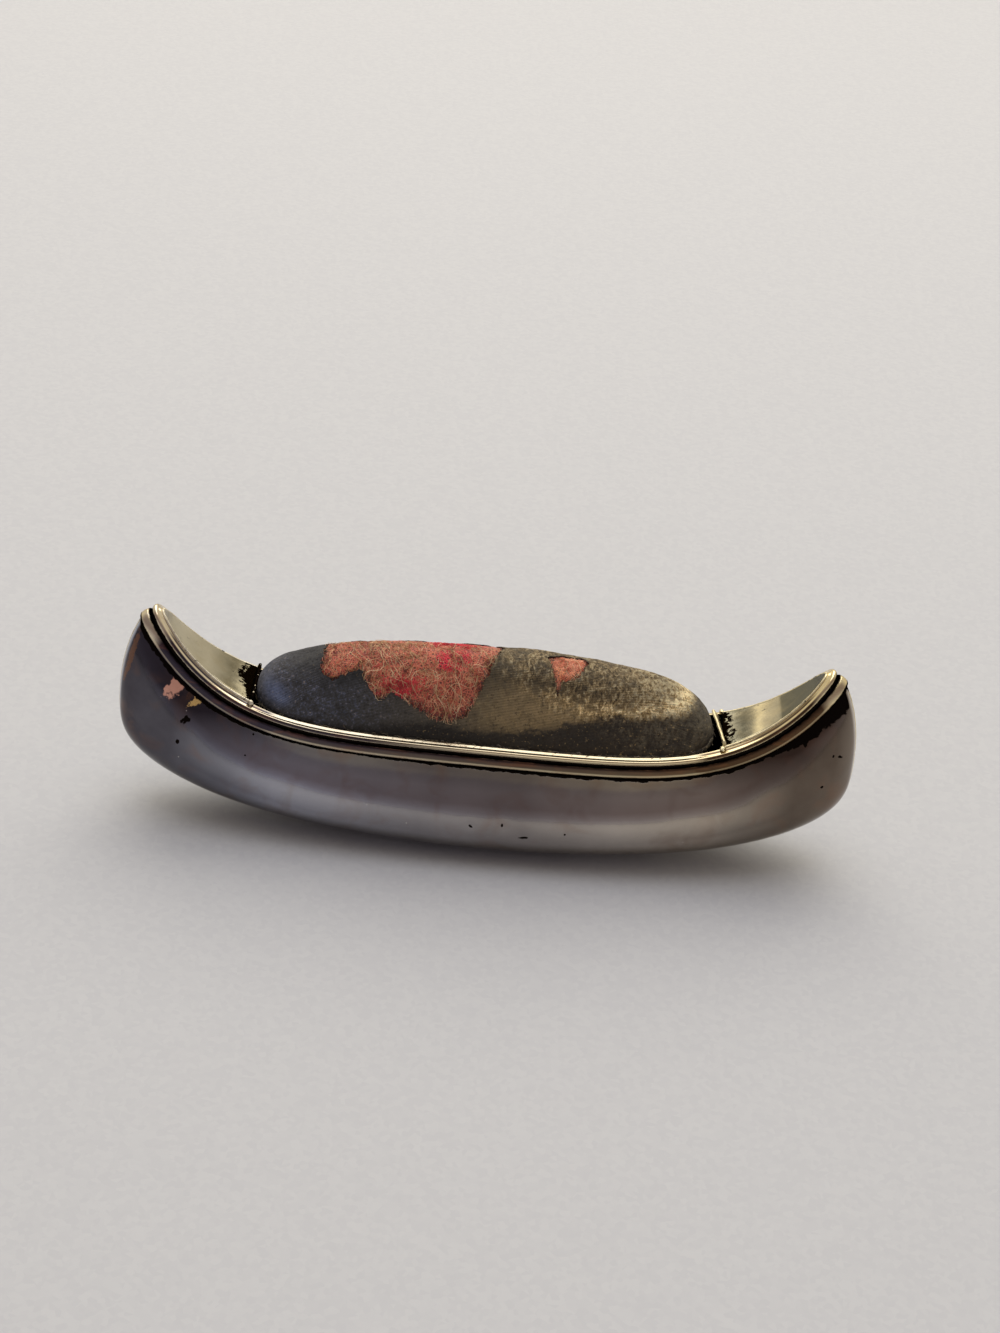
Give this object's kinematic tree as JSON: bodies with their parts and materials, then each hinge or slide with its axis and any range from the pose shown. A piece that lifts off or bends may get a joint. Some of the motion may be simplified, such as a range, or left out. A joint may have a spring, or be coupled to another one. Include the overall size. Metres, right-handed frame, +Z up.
{
  "type": "canoe pincushion",
  "caption": "Small polished silver canoe with reeded gunwales, a short deck at each end, and a worn stuffed pincushion pad in its waist.",
  "frame": {"origin": "on the table, under the middle of the keel", "axes": "+Z up, +X along the canoe towards its aft end, -Y towards its port side"},
  "size_m": [0.1, 0.0214, 0.0297],
  "materials": {
    "silver_sheet": "mirror-polished silver, tarnished under the reeds",
    "silver_solder": "filed and polished silver solder",
    "silver_reed": "polished silver with oxide in the grooves",
    "silver_deck": "polished silver",
    "silver_coaming": "polished silver with grime beside it",
    "pitch": "poured pitch",
    "softwood": "whittled pine",
    "hide_glue": "dried hide glue",
    "strawboard": "strawboard card",
    "linen_thread": "waxed linen thread",
    "sawdust": "packed sawdust",
    "red_wool": "matted carded wool",
    "cover_cloth": "worn charcoal cloth"
  },
  "bodies": {
    "root": {"hull_port": "silver_sheet", "hull_starboard": "silver_sheet", "keel_seam": "silver_solder", "upper_reed_port": "silver_reed", "upper_reed_starboard": "silver_reed", "lower_reed_port": "silver_reed", "lower_reed_starboard": "silver_reed", "fore_deck": "silver_deck", "aft_deck": "silver_deck", "fore_coaming": "silver_coaming", "aft_coaming": "silver_coaming", "pitch_bed": "pitch", "cushion_block": "softwood", "glue_film": "hide_glue", "pad_card": "strawboard", "gathering_thread": "linen_thread", "sawdust_core": "sawdust", "wool_wadding": "red_wool", "pad_cover": "cover_cloth"}
  },
  "joints": []
}
